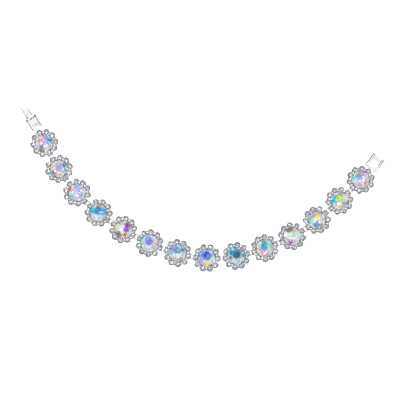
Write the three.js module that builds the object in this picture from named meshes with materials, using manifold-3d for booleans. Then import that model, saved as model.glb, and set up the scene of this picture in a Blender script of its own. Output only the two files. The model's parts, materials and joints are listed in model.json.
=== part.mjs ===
// A rhinestone flower bracelet, laid open in a shallow arc on a flat surface. Fourteen cast flower
// settings each hold one large centre stone inside a ring of ten small ones. Stamped link rings join
// the flowers lug to lug. One end carries a fold-over clasp and the other the frame it closes on.
// Millimetres and degrees, +Z up, origin on the surface below the middle of the whole bracelet.
import * as THREE from "three";
import { mergeVertices } from "three/addons/utils/BufferGeometryUtils.js";
import Module from "manifold-3d";

// Counts.
const FLOWERS = 14;
const ROOT_FLOWER = 7;
const HALO_STONES = 10;
const PRONGS = 5;

// How the chain lies: the heading of the root flower, and how far each flower turns from the one
// before it, from the clasp end to the catch end.
const ROOT_HEADING = -15;
const CHAIN_TURNS = [6, 9, 10, 8, 6, 10, 13, 14, 8, 9, 10, 4, 4];
const CLASP_TURN = 7;
const CATCH_TURN = 8;

// Stones.
const CENTRE_STONE_D = 7;
const CENTRE_CROWN_H = 1.2;
const CENTRE_GIRDLE_H = 0.15;
const CENTRE_PAVILION_H = 2.4;
const CENTRE_TABLE_D = 3.8;
const CENTRE_OVERLAP = 0.27;
const HALO_STONE_D = 2.36;
const HALO_TABLE_D = 1.2;
const HALO_CROWN_H = 0.55;
const HALO_BRIDGE_W = 0.3;
const HALO_BRIDGE_H = 0.15;
const STONE_LIFT = 0.35;
const SEAT_GAP = 0.05;
const PAVILION_GAP = 0.12;

// Settings.
const CUP_WALL = 0.17;
const CUP_GAP = 0.13;
const CUP_H = 1.1;
const CUP_ARC = 100;
const GALLERY_OVERLAP = 0.1;
const PRONG_W = 0.5;
const PRONG_T = 0.35;
const PRONG_GAP = 0.08;
const PRONG_RISE = 0.15;

// Lugs and link rings.
const TIP_GAP = 0.3;
const WIRE = 0.5;
const LUG_T = 0.7;
const LUG_WALL = 0.35;
const LUG_PLAY = 0.225;
const LUG_INSET = 0.93;
const LUG_ROOT = 0.5;
const END_LUG_REACH = 0.57;
const RING_SIDE_ROOM = 0.3;
const RING_HEADROOM = 0.275;
const RING_END_ROOM = 0.75;
const RING_CORNER_R = 0.3;

// Fold-over clasp.
const BASE_W = 4.4;
const BASE_WALL = 0.35;
const BASE_FLOOR = 0.4;
const BASE_WALL_H = 1.5;
const BASE_FLOOR_START = 0.75;
const HINGE_REACH = 5.5;
const HINGE_Z = 1.35;
const HINGE_EAR_R = 0.8;
const HINGE_EAR_T = 0.25;
const HINGE_PIN_D = 0.6;
const HINGE_PLAY = 0.06;
const PIN_OVERHANG = 0.15;
const COVER_LENGTH = 5.85;
const COVER_PLATE_T = 0.4;
const COVER_PLATE_DROP = 0.6;
const COVER_SIDE_GAP = 0.4;
const COVER_TIP_W = 2.3;
const COVER_FLANGE_T = 0.3;
const COVER_FLANGE_H = 0.7;
const COVER_KNUCKLE_R = 0.62;
const CATCH_LIP_REACH = 1.85;
const CATCH_LIP_T = 0.3;
const CATCH_LIP_W = 2.2;
const CATCH_LIP_H = 0.5;

// Catch frame.
const RAIL_SPACING = 4.5;
const RAIL_W = 1.2;
const RAIL_H = 1.1;
const RAIL_LENGTH = 5.95;
const RAIL_EYE_R = 0.4;
const RUNG_W = 2;
const RUNG_T = 0.5;
const RUNG_INSET = 0.2;
const RUNG_Z = 0.3;

// Roundness: how many flat sides stand for each kind of curve.
const CENTRE_SIDES = 12;
const HALO_SIDES = 6;
const GALLERY_SIDES = 16;
const CUP_STEPS = 4;
const HOLE_SIDES = 10;
const CORNER_STEPS = 2;
// Points closer than this are one point.
const FUSE = 1e-4;

// Places and sizes that follow from the ones above.
const CENTRE_R = CENTRE_STONE_D / 2;
const CUP_R = HALO_STONE_D / 2 + CUP_WALL;
const HALO_STEP = 360 / HALO_STONES;
const HALO_R = Math.max(
  CENTRE_R - CENTRE_OVERLAP + CUP_R,
  (CUP_R + CUP_GAP / 2) / Math.sin(rad(HALO_STEP / 2)),
);
const FLOWER_R = HALO_R + CUP_R;
const LUG_HOLE_R = WIRE / 2 + LUG_PLAY;
const LUG_R = LUG_HOLE_R + LUG_WALL;
const LUG_Z = LUG_R;
const LUG_X = FLOWER_R - LUG_INSET;
const END_LUG_X = FLOWER_R + END_LUG_REACH;
const GALLERY_R = LUG_X - WIRE / 2 - RING_END_ROOM;
const CUP_Z = LUG_Z + WIRE / 2 + RING_HEADROOM;
const CUP_TOP = CUP_Z + CUP_H;
const HALO_Z = CUP_TOP + SEAT_GAP;
const CENTRE_GIRDLE_Z = CUP_TOP + STONE_LIFT;
const CENTRE_CULET_Z = CENTRE_GIRDLE_Z - CENTRE_PAVILION_H;
const RING_REACH = 2 * LUG_INSET + TIP_GAP;
const RING_HALF_W = LUG_T / 2 + RING_SIDE_ROOM + WIRE;
const COVER_W = BASE_W - 2 * BASE_WALL - 2 * COVER_SIDE_GAP;

// One soft tint for each centre stone, which shifts from stone to stone as an iridescent coat does.
const CENTRE_TINTS = [
  0xc9b4e6, 0xa9b6d8, 0xb39fd6, 0x7fb4e0, 0xc9a6b8, 0xa8b4e2, 0xb4c0e6,
  0x8fa0dc, 0x8fc4dc, 0xa4d4d0, 0xc8a4c4, 0xbcd8cc, 0xa8d4c0, 0x9fb4e0,
];
const METAL = () =>
  new THREE.MeshStandardMaterial({ color: 0xd8d9dc, roughness: 0.18, metalness: 1, flatShading: true });
const CLEAR_CRYSTAL = () =>
  new THREE.MeshStandardMaterial({ color: 0xdfe3ea, roughness: 0.06, metalness: 0.1, flatShading: true });
const COATED_CRYSTAL = (tint) =>
  new THREE.MeshStandardMaterial({ color: tint, roughness: 0.06, metalness: 0.2, flatShading: true });

const wasm = await Module();
wasm.setup();

function rad(degrees) {
  return THREE.MathUtils.degToRad(degrees);
}

function two(number) {
  return String(number).padStart(2, "0");
}

// Joining and cutting closed geometries.

function toSolid(geometry) {
  const bare = geometry.clone();
  bare.deleteAttribute("normal");
  bare.deleteAttribute("uv");
  const merged = mergeVertices(bare, FUSE);
  return new wasm.Manifold(
    new wasm.Mesh({
      numProp: 3,
      vertProperties: new Float32Array(merged.attributes.position.array),
      triVerts: new Uint32Array(merged.index.array),
    }),
  );
}

function toGeometry(solid) {
  const mesh = solid.getMesh();
  const geometry = new THREE.BufferGeometry();
  geometry.setAttribute("position", new THREE.BufferAttribute(mesh.vertProperties, 3));
  geometry.setIndex(new THREE.BufferAttribute(mesh.triVerts, 1));
  geometry.computeVertexNormals();
  return geometry;
}

function build(added, removed = []) {
  let solid = toSolid(added[0]);
  for (const geometry of added.slice(1)) solid = solid.add(toSolid(geometry));
  for (const geometry of removed) solid = solid.subtract(toSolid(geometry));
  return toGeometry(solid.asOriginal().simplify(FUSE));
}

// Simple closed shapes.

function arc(x, y, radius, from, to, steps) {
  const points = [];
  for (let i = 0; i <= steps; i++) {
    const angle = rad(from + ((to - from) * i) / steps);
    points.push(new THREE.Vector2(x + radius * Math.cos(angle), y + radius * Math.sin(angle)));
  }
  return points;
}

function circlePath(x, y, radius, sides) {
  return new THREE.Path(arc(x, y, radius, 0, 360, sides).slice(0, sides));
}

function slab(points, holes, z, height) {
  const shape = new THREE.Shape(points);
  shape.holes.push(...holes);
  const geometry = new THREE.ExtrudeGeometry(shape, { depth: height, bevelEnabled: false });
  return geometry.translate(0, 0, z);
}

// A plate that stands upright: its outline is drawn in X and Z, and it is thick along Y.
function upright(points, holes, y, thickness) {
  return slab(points, holes, 0, thickness)
    .rotateX(Math.PI / 2)
    .translate(0, y + thickness, 0);
}

function block(x0, x1, y0, y1, z0, z1) {
  const geometry = new THREE.BoxGeometry(x1 - x0, y1 - y0, z1 - z0);
  return geometry.translate((x0 + x1) / 2, (y0 + y1) / 2, (z0 + z1) / 2);
}

function disc(radiusTop, radiusBottom, z0, z1, sides) {
  const geometry = new THREE.CylinderGeometry(radiusTop, radiusBottom, z1 - z0, sides);
  return geometry.rotateX(Math.PI / 2).translate(0, 0, (z0 + z1) / 2);
}

// A round bar across the chain, centred on Y.
function crossBar(x, z, radius, length, sides) {
  return new THREE.CylinderGeometry(radius, radius, length, sides).translate(x, 0, z);
}

function around(angle, radius, geometry) {
  return geometry.translate(radius, 0, 0).rotateZ(rad(angle));
}

// Stones.

function centreStone() {
  const profile = [
    new THREE.Vector2(0, CENTRE_CULET_Z),
    new THREE.Vector2(CENTRE_R, CENTRE_GIRDLE_Z),
    new THREE.Vector2(CENTRE_R, CENTRE_GIRDLE_Z + CENTRE_GIRDLE_H),
    new THREE.Vector2(CENTRE_TABLE_D / 2, CENTRE_GIRDLE_Z + CENTRE_GIRDLE_H + CENTRE_CROWN_H),
    new THREE.Vector2(0, CENTRE_GIRDLE_Z + CENTRE_GIRDLE_H + CENTRE_CROWN_H),
  ];
  return new THREE.LatheGeometry(profile, CENTRE_SIDES).rotateX(Math.PI / 2);
}

// Ten faceted stones on their cups, held together by thin bridges hidden between their girdles.
function haloStones() {
  const pieces = [];
  const bridge = 2 * HALO_R * Math.sin(rad(HALO_STEP / 2));
  const bridgeR = HALO_R * Math.cos(rad(HALO_STEP / 2));
  for (let k = 0; k < HALO_STONES; k++) {
    const stone = disc(HALO_TABLE_D / 2, HALO_STONE_D / 2, HALO_Z, HALO_Z + HALO_CROWN_H, HALO_SIDES);
    pieces.push(around(k * HALO_STEP, HALO_R, stone));
    const half = HALO_BRIDGE_W / 2;
    const rod = block(-half, half, -bridge / 2, bridge / 2, HALO_Z, HALO_Z + HALO_BRIDGE_H);
    pieces.push(around((k + 0.5) * HALO_STEP, bridgeR, rod));
  }
  return build(pieces);
}

// Settings.

function cupOutline() {
  const points = [];
  for (let k = 0; k < HALO_STONES; k++) {
    const angle = k * HALO_STEP;
    const x = HALO_R * Math.cos(rad(angle));
    const y = HALO_R * Math.sin(rad(angle));
    points.push(...arc(x, y, CUP_R, angle - CUP_ARC, angle + CUP_ARC, CUP_STEPS));
  }
  return points;
}

// The cone that the centre stone's pavilion drops into.
function stoneSeat() {
  const slope = CENTRE_PAVILION_H / CENTRE_R;
  const drop = PAVILION_GAP * Math.hypot(1, slope);
  const apex = CENTRE_CULET_Z - drop;
  const top = CUP_TOP + SEAT_GAP;
  return disc((top - apex) / slope, 0, apex, top, CENTRE_SIDES);
}

function prong(k) {
  const top = CENTRE_GIRDLE_Z + CENTRE_GIRDLE_H + PRONG_RISE;
  const post = block(0, PRONG_T, -PRONG_W / 2, PRONG_W / 2, CUP_Z + GALLERY_OVERLAP, top);
  return around((k * (HALO_STONES / PRONGS) + 0.5) * HALO_STEP, CENTRE_R + PRONG_GAP, post);
}

// An ear under an end cup, with a hole across the chain for the link's bar.
function lug(x) {
  const points = [
    new THREE.Vector2(GALLERY_R - LUG_ROOT, LUG_Z + LUG_R),
    new THREE.Vector2(GALLERY_R - LUG_ROOT, LUG_Z - LUG_R),
    ...arc(x, LUG_Z, LUG_R, -90, 90, HOLE_SIDES / 2),
  ];
  const hole = circlePath(x, LUG_Z, LUG_HOLE_R, HOLE_SIDES);
  return upright(points, [hole], -LUG_T / 2, LUG_T);
}

function setting(backLugX, frontLugX) {
  const pieces = [
    slab(cupOutline(), [], CUP_Z, CUP_H),
    disc(GALLERY_R, GALLERY_R, 0, CUP_Z + GALLERY_OVERLAP, GALLERY_SIDES),
    lug(frontLugX),
    lug(backLugX).rotateZ(Math.PI),
  ];
  for (let k = 0; k < PRONGS; k++) pieces.push(prong(k));
  return build(pieces, [stoneSeat()]);
}

// Link ring: a flat stamped loop whose two end bars run through the lugs of two flowers.

function roundedBox(halfLength, halfWidth, radius) {
  const x = halfLength - radius;
  const y = halfWidth - radius;
  return [
    ...arc(x, y, radius, 0, 90, CORNER_STEPS),
    ...arc(-x, y, radius, 90, 180, CORNER_STEPS),
    ...arc(-x, -y, radius, 180, 270, CORNER_STEPS),
    ...arc(x, -y, radius, 270, 360, CORNER_STEPS),
  ];
}

function linkRing() {
  const half = (RING_REACH + WIRE) / 2;
  const outer = roundedBox(half, RING_HALF_W, RING_CORNER_R);
  const window = [
    new THREE.Vector2(half - WIRE, RING_HALF_W - WIRE),
    new THREE.Vector2(WIRE - half, RING_HALF_W - WIRE),
    new THREE.Vector2(WIRE - half, WIRE - RING_HALF_W),
    new THREE.Vector2(half - WIRE, WIRE - RING_HALF_W),
  ];
  return slab(outer, [new THREE.Path(window)], LUG_Z - WIRE / 2, WIRE);
}

// Fold-over clasp, drawn outwards along +X from the bar that runs through the first flower's lug.

function claspBase() {
  const half = BASE_W / 2;
  const tip = HINGE_REACH + HINGE_EAR_R;
  const wall = [
    ...arc(0, LUG_Z, WIRE, 90, 270, HOLE_SIDES / 2),
    new THREE.Vector2(BASE_FLOOR_START, 0),
    new THREE.Vector2(tip, 0),
    ...arc(HINGE_REACH, HINGE_Z, HINGE_EAR_R, 0, 150, HOLE_SIDES / 2),
    new THREE.Vector2(HINGE_REACH - 2 * HINGE_EAR_R, BASE_WALL_H),
    new THREE.Vector2(BASE_FLOOR_START, BASE_WALL_H),
  ];
  const bossPoints = arc(HINGE_REACH, HINGE_Z, HINGE_EAR_R, 0, 360, HOLE_SIDES).slice(0, HOLE_SIDES);
  const lipX = CATCH_LIP_REACH;
  const lipHalf = CATCH_LIP_W / 2;
  return build(
    [
      upright(wall, [], half - BASE_WALL, BASE_WALL),
      upright(wall, [], -half, BASE_WALL),
      upright(bossPoints, [], half - BASE_WALL, BASE_WALL + HINGE_EAR_T),
      upright(bossPoints, [], -half - HINGE_EAR_T, BASE_WALL + HINGE_EAR_T),
      block(BASE_FLOOR_START, tip, -half, half, 0, BASE_FLOOR),
      block(lipX, lipX + CATCH_LIP_T, -lipHalf, lipHalf, 0, BASE_FLOOR + CATCH_LIP_H),
      crossBar(0, LUG_Z, WIRE / 2, BASE_W - BASE_WALL, HOLE_SIDES),
    ],
    [crossBar(HINGE_REACH, HINGE_Z, HINGE_PIN_D / 2 + HINGE_PLAY, 2 * BASE_W, HOLE_SIDES)],
  );
}

function claspHingePin() {
  const length = BASE_W + 2 * (HINGE_EAR_T + PIN_OVERHANG);
  return crossBar(HINGE_REACH, HINGE_Z, HINGE_PIN_D / 2, length, HOLE_SIDES);
}

// The cover swings on the pin. It is narrow enough to pass through the catch frame's window.
function claspCover() {
  const half = COVER_W / 2;
  const tipHalf = COVER_TIP_W / 2;
  const end = HINGE_REACH + COVER_LENGTH;
  const bottom = HINGE_Z - COVER_PLATE_DROP;
  const plate = [
    new THREE.Vector2(HINGE_REACH, -half),
    new THREE.Vector2(end, -tipHalf),
    new THREE.Vector2(end, tipHalf),
    new THREE.Vector2(HINGE_REACH, half),
  ];
  const start = HINGE_REACH + COVER_KNUCKLE_R;
  const narrowing = (half - tipHalf) * (COVER_KNUCKLE_R / COVER_LENGTH);
  const trough = [
    new THREE.Vector2(start, narrowing + COVER_FLANGE_T - half),
    new THREE.Vector2(end - COVER_FLANGE_T, COVER_FLANGE_T - tipHalf),
    new THREE.Vector2(end - COVER_FLANGE_T, tipHalf - COVER_FLANGE_T),
    new THREE.Vector2(start, half - narrowing - COVER_FLANGE_T),
  ];
  return build(
    [
      slab(plate, [], bottom, COVER_FLANGE_H),
      crossBar(HINGE_REACH, HINGE_Z, COVER_KNUCKLE_R, COVER_W, HOLE_SIDES),
    ],
    [
      slab(trough, [], bottom + COVER_PLATE_T, COVER_FLANGE_H),
      crossBar(HINGE_REACH, HINGE_Z, HINGE_PIN_D / 2 + HINGE_PLAY, 2 * BASE_W, HOLE_SIDES),
    ],
  );
}

// Catch frame, drawn outwards along +X from the bar that runs through the last flower's lug.

function catchFrame() {
  const middle = RAIL_SPACING / 2;
  const rail = [
    ...arc(0, LUG_Z, RAIL_EYE_R, 90, 225, CORNER_STEPS * 2),
    new THREE.Vector2(RAIL_EYE_R, 0),
    new THREE.Vector2(RAIL_LENGTH, 0),
    new THREE.Vector2(RAIL_LENGTH, RAIL_H),
    new THREE.Vector2(RAIL_EYE_R, RAIL_H),
  ];
  const rungEnd = RAIL_LENGTH - RUNG_INSET;
  return build([
    upright(rail, [], middle - RAIL_W / 2, RAIL_W),
    upright(rail, [], -middle - RAIL_W / 2, RAIL_W),
    block(rungEnd - RUNG_W, rungEnd, -middle, middle, RUNG_Z, RUNG_Z + RUNG_T),
    crossBar(0, LUG_Z, WIRE / 2, RAIL_SPACING, HOLE_SIDES),
  ]);
}

// Assembly.

function named(name, geometry, material) {
  const mesh = new THREE.Mesh(geometry, material);
  mesh.name = name;
  return mesh;
}

function flower(number) {
  const group = new THREE.Group();
  const backLugX = number === 1 ? END_LUG_X : LUG_X;
  const frontLugX = number === FLOWERS ? END_LUG_X : LUG_X;
  const id = two(number);
  group.add(named(`setting_${id}`, setting(backLugX, frontLugX), METAL()));
  group.add(named(`centre_stone_${id}`, centreStone(), COATED_CRYSTAL(CENTRE_TINTS[number - 1])));
  group.add(named(`halo_stones_${id}`, haloStones(), CLEAR_CRYSTAL()));
  return group;
}

// A named empty group that marks a joint's axis: wrap and swing turn about Y, and turn about Z.
function pivot(name, parent, x, turn) {
  const group = new THREE.Group();
  group.name = name;
  group.position.set(x, 0, LUG_Z);
  group.rotation.z = rad(turn);
  parent.add(group);
  return group;
}

function onFloor(parent, child, x) {
  child.position.set(x, 0, -LUG_Z);
  parent.add(child);
  return child;
}

// Hangs the next flower on this one. side is 1 towards the catch and -1 towards the clasp.
function linkOn(here, number, side) {
  const gap = side > 0 ? number : number - 1;
  const wrap = pivot(`wrap_${two(gap)}`, here, side * LUG_X, 0);
  onFloor(wrap, named(`link_ring_${two(gap)}`, linkRing(), METAL()), (side * RING_REACH) / 2);
  const turn = pivot(`turn_${two(gap)}`, wrap, side * RING_REACH, side * CHAIN_TURNS[gap - 1]);
  turn.position.z = 0;
  return onFloor(turn, flower(number + side), side * LUG_X);
}

function claspOn(here) {
  const swing = pivot("clasp_swing", here, -END_LUG_X, 180 + CLASP_TURN);
  onFloor(swing, named("clasp_base", claspBase(), METAL()), 0);
  onFloor(swing, named("clasp_hinge_pin", claspHingePin(), METAL()), 0);
  const fold = pivot("clasp_fold", swing, HINGE_REACH, 0);
  fold.position.z = HINGE_Z - LUG_Z;
  const cover = named("clasp_cover", claspCover(), METAL());
  cover.position.set(-HINGE_REACH, 0, -HINGE_Z);
  fold.add(cover);
}

function catchOn(here) {
  const swing = pivot("catch_swing", here, END_LUG_X, CATCH_TURN);
  onFloor(swing, named("catch_frame", catchFrame(), METAL()), 0);
}

function bracelet() {
  const chain = new THREE.Group();
  const root = flower(ROOT_FLOWER);
  root.rotation.z = rad(ROOT_HEADING);
  chain.add(root);
  let here = root;
  for (let number = ROOT_FLOWER; number < FLOWERS; number++) here = linkOn(here, number, 1);
  catchOn(here);
  here = root;
  for (let number = ROOT_FLOWER; number > 1; number--) here = linkOn(here, number, -1);
  claspOn(here);

  const whole = new THREE.Group();
  whole.add(chain);
  whole.updateMatrixWorld(true);
  const box = new THREE.Box3().setFromObject(chain, true);
  const middle = box.getCenter(new THREE.Vector3());
  chain.position.set(-middle.x, -middle.y, -box.min.z);
  return whole;
}

export default bracelet();
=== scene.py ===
"""Looks of a rhinestone flower bracelet laid open on a pale table.

Every flower is a plated setting with ten small cups round a collet, ten small clear crystals and one
large crystal with an iridescent coat. Wire rings link the flowers, and a fold-over clasp and its catch
frame close the chain. Pieces are drawn in millimetres in a frame of their own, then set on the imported
model's own places.
"""

import json
import math
import random

import bmesh
import bpy
from mathutils import Matrix, Vector

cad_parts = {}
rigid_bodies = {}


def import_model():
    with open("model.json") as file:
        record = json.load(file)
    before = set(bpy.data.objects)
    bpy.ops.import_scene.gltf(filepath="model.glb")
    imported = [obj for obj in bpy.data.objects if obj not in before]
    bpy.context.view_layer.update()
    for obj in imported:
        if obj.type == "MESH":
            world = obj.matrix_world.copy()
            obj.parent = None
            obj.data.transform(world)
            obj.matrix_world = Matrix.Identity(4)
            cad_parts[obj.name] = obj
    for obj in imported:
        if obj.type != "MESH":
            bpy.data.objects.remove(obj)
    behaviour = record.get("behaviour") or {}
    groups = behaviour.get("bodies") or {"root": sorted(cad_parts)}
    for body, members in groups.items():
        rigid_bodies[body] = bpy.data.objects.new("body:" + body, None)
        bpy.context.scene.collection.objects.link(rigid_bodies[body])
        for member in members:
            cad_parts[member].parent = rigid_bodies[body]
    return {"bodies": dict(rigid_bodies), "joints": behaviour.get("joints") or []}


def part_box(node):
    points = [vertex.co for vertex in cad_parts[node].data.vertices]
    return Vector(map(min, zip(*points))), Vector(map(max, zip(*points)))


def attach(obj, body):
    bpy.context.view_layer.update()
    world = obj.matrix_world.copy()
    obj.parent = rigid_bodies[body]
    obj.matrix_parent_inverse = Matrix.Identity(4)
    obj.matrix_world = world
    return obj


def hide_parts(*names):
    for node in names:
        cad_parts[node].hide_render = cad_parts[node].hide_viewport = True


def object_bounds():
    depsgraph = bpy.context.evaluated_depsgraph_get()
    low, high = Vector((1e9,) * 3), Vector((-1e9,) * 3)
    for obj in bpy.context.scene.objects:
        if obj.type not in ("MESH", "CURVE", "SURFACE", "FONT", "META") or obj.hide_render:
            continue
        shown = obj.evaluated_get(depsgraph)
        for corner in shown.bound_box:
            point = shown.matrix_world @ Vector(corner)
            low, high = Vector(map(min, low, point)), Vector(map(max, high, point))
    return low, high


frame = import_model()
cad_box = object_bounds()
joints = {j["name"]: j for j in frame["joints"]}
flowers = sorted(b for b in frame["bodies"] if b.startswith("flower_"))
rings = sorted(b for b in frame["bodies"] if b.startswith("ring_"))

MM = 0.001
FULL_TURN = 2 * math.pi

# Flower, in millimetres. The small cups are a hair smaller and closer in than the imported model's, and
# their stones are smaller again, so that a lip shows round each stone.
HALO_STONES = 10
HALO_R = 4.545
CUP_R = 1.33
CUP_FLOOR_Z = 1.35
CUP_RIM_Z = 2.56
CUP_LIP = 0.2
CUP_SIDES = 24
HALO_STONE_R = 1.13
HALO_GIRDLE_Z = 2.44
HALO_GIRDLE_H = 0.08
HALO_TABLE_Z = 3.0
HALO_TABLE_R = 0.55
HALO_CULET_Z = 1.78
HALO_FOLDS = 6
HALO_RELIEF = 0.03
HALO_LOOSE_TURN = 1.5
BEADS_PER_CUP = 4
BEAD_R = 0.17
BEAD_PLACE = (HALO_STONE_R - 0.02, 0, CUP_RIM_Z + 0.03)
BEAD_SHAPE = (1.2, 0.8, 0.9, 1)
CENTRE_R = 3.5
CENTRE_TABLE_R = 1.95
CENTRE_GIRDLE_Z = 2.8
CENTRE_GIRDLE_H = 0.15
CENTRE_TABLE_Z = 4.15
CENTRE_CULET_Z = 0.45
CENTRE_FOLDS = 8
CENTRE_RELIEF = 0.07
COLLET_WALL = 0.14
COLLET_SIDES = 48
BACK_PLATE_R = 3.95
BACK_PLATE_T = 0.35
WEB_R = 5.1
WEB_T = 0.15
WEB_DROP = 0.2
WEB_FALL = 0.85
WEB_EDGE = 0.04
WEB_TUCK = 0.35
WEB_SIDES = 60
POST_R = 0.27
POST_LUG_CLEARANCE = 1.0
BRIDGE_R = 0.34
CLAWS = 5
CLAW_R = 0.26
LUG_T = 0.7
LUG_Z = 0.825
LUG_R = 0.825
LUG_HOLE_R = 0.475
LUG_ROOT_X = 3.4
EDGE = 0.07
CHAMFER = 0.15
RAIL_CHAMFER = 0.34

# Link ring, clasp and catch, in millimetres.
WIRE_R = 0.25
RING_HALF_W = 0.9
RING_BEND_R = 0.3
BASE_W = 4.4
BASE_WALL = 0.35
BASE_FLOOR = 0.4
BASE_WALL_H = 1.5
BASE_START = 0.75
BASE_FLOOR_TUCK = 0.1
BASE_FLOOR_SHORT = 0.05
BAR_EYE_R = 0.5
HINGE_Z = 1.35
HINGE_EAR_R = 0.8
HINGE_EAR_T = 0.25
HINGE_EAR_RUN = 1.5
PIN_R = 0.3
PIN_PLAY = 0.06
PIN_PROUD = 0.1
PIN_DOME = 0.12
COVER_W = 2.9
COVER_TIP_W = 2.3
COVER_LENGTH = 5.85
COVER_PLATE_T = 0.4
COVER_DROP = 0.6
COVER_START = 0.35
COVER_CORNER_R = 0.3
COVER_FLANGE_H = 0.7
COVER_FLANGE_T = 0.34
COVER_FLANGE_SHORT = 0.15
COVER_TIP_TUCK = 0.1
COVER_KNUCKLE_R = 0.62
LIP_X = 1.85
LIP_W = 2.2
LIP_T = 0.3
LIP_H = 0.5
LIP_SINK = 0.15
LIP_EDGE = 0.14
RAIL_SPACING = 4.5
RAIL_W = 1.2
RAIL_H = 1.1
RAIL_LENGTH = 5.95
RAIL_EYE_R = 0.4
RAIL_CORNER_X = 0.15
RAIL_CORNER_Z = 0.2
RUNG_W = 2.0
RUNG_T = 0.5
RUNG_Z = 0.3
RUNG_INSET = 0.2
RUNG_EDGE = 0.12
BAR_SIDES = 24


# ---------------------------------------------------------------- places

def seat(origin, along):
    """Millimetres in a piece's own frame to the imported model's frame: +X runs along, +Z is up."""
    x = Vector((along.x, along.y, 0)).normalized()
    y = Vector((-x.y, x.x, 0))
    turn = Matrix((x, y, (0, 0, 1))).transposed().to_4x4()
    return Matrix.Translation((origin[0], origin[1], cad_box[0][2])) @ turn @ Matrix.Scale(MM, 4)


def joints_of(body):
    return [Vector(j["pos_m"]) for j in joints.values() if body in (j["parent"], j["child"])]


def flower_seat(body):
    low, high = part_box("centre_stone_" + body[-2:])
    back, front = sorted(joints_of(body), key=lambda p: p.x)
    return seat((low + high) / 2, front - back)


def ring_seat(body):
    """A link ring's place, and how far apart its two lugs are, in millimetres."""
    back, front = sorted(joints_of(body), key=lambda p: p.x)
    return seat((back + front) / 2, front - back), (front - back).length / MM


def end_seat(swing):
    """The frame of an end piece, from the bar that it swings on: +X runs outwards."""
    axis = Vector(joints[swing]["axis"])
    return seat(Vector(joints[swing]["pos_m"]), axis.cross(Vector((0, 0, 1))))


def lug_reach(body, front):
    """How far a flower's lug hole is from its middle, in millimetres."""
    low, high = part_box("centre_stone_" + body[-2:])
    middle = (low + high) / 2
    hole = sorted(joints_of(body), key=lambda p: p.x)[1 if front else 0]
    return Vector((hole.x - middle.x, hole.y - middle.y)).length / MM


# ---------------------------------------------------------------- mesh work

def link(obj):
    bpy.context.scene.collection.objects.link(obj)
    return obj


def tidy(bm):
    """Closes a mesh's seams and turns its faces outwards."""
    bmesh.ops.remove_doubles(bm, verts=bm.verts, dist=1e-4)
    bmesh.ops.dissolve_degenerate(bm, edges=bm.edges, dist=1e-5)
    bmesh.ops.recalc_face_normals(bm, faces=bm.faces)
    return bm


def to_mesh(bm, name):
    mesh = bpy.data.meshes.new(name)
    bm.to_mesh(mesh)
    bm.free()
    return mesh


def arc(x, y, radius, start, end, steps):
    """Points along an arc in X and Y. Its ends are given in degrees."""
    angles = [math.radians(start + (end - start) * i / steps) for i in range(steps + 1)]
    return [(x + radius * math.cos(a), y + radius * math.sin(a)) for a in angles]


def circle(x, y, radius, steps):
    return arc(x, y, radius, 0, 360, steps)[:-1]


def level_ring(bm, radius, z, count, shift=0.0):
    """A ring of new corners about Z. shift turns it by a share of one step."""
    angles = [FULL_TURN * (i + shift) / count for i in range(count)]
    return [bm.verts.new((radius * math.cos(a), radius * math.sin(a), z)) for a in angles]


def turned(profile, sides):
    """A closed solid turned about Z from a profile of (radius, height), whose ends are on the axis."""
    bm = bmesh.new()
    loops = []
    for radius, z in profile:
        if radius == 0:
            loops.append([bm.verts.new((0, 0, z))] * sides)
        else:
            loops.append(level_ring(bm, radius, z, sides))
    for low, high in zip(loops, loops[1:]):
        for i in range(sides):
            j = (i + 1) % sides
            corners = []
            for v in (low[i], low[j], high[j], high[i]):
                if v not in corners:
                    corners.append(v)
            bm.faces.new(corners)
    return tidy(bm)


def hoop(profile, sides):
    """A closed ring turned about Z from a closed profile of (radius, height)."""
    bm = bmesh.new()
    loops = [level_ring(bm, radius, z, sides) for radius, z in profile]
    for low, high in zip(loops, loops[1:] + loops[:1]):
        for i in range(sides):
            j = (i + 1) % sides
            bm.faces.new((low[i], low[j], high[j], high[i]))
    return tidy(bm)


def from_curve(curve):
    """A closed mesh from a curve object, which is then removed."""
    obj = link(bpy.data.objects.new("stock", curve))
    depsgraph = bpy.context.evaluated_depsgraph_get()
    mesh = bpy.data.meshes.new_from_object(obj.evaluated_get(depsgraph))
    bm = bmesh.new()
    bm.from_mesh(mesh)
    bpy.data.objects.remove(obj)
    bpy.data.curves.remove(curve)
    bpy.data.meshes.remove(mesh)
    return tidy(bm)


def cut_plate(outlines, thickness, edge=EDGE, rounding=2):
    """Sheet metal cut to outlines in X and Y, centred on z = 0. Its edges are rolled round, or cut to
    one flat chamfer when rounding is 0."""
    curve = bpy.data.curves.new("plate", "CURVE")
    curve.dimensions = "2D"
    curve.fill_mode = "BOTH"
    for points in outlines:
        spline = curve.splines.new("POLY")
        spline.points.add(len(points) - 1)
        for point, (x, y) in zip(spline.points, points):
            point.co = (x, y, 0, 1)
        spline.use_cyclic_u = True
    curve.extrude = thickness / 2 - edge
    curve.bevel_depth = edge
    curve.bevel_resolution = rounding
    curve.offset = -edge
    return from_curve(curve)


def wire(points, radius, closed=False, sides=3, taper=None):
    """Round wire bent through points. taper gives each point's share of the radius."""
    curve = bpy.data.curves.new("wire", "CURVE")
    curve.dimensions = "3D"
    spline = curve.splines.new("POLY")
    spline.points.add(len(points) - 1)
    for i, (point, place) in enumerate(zip(spline.points, points)):
        point.co = (*place, 1)
        point.radius = taper[i] if taper else 1
    spline.use_cyclic_u = closed
    curve.bevel_depth = radius
    curve.bevel_resolution = sides
    curve.use_fill_caps = not closed
    return from_curve(curve)


def moved(bm, matrix):
    """The same mesh, after it is moved."""
    bmesh.ops.transform(bm, matrix=matrix, verts=bm.verts)
    return bm


def upright(bm, y):
    """Stands a plate drawn in X and Y up into X and Z, at y."""
    return moved(bm, Matrix.Translation((0, y, 0)) @ Matrix.Rotation(math.pi / 2, 4, "X"))


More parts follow.
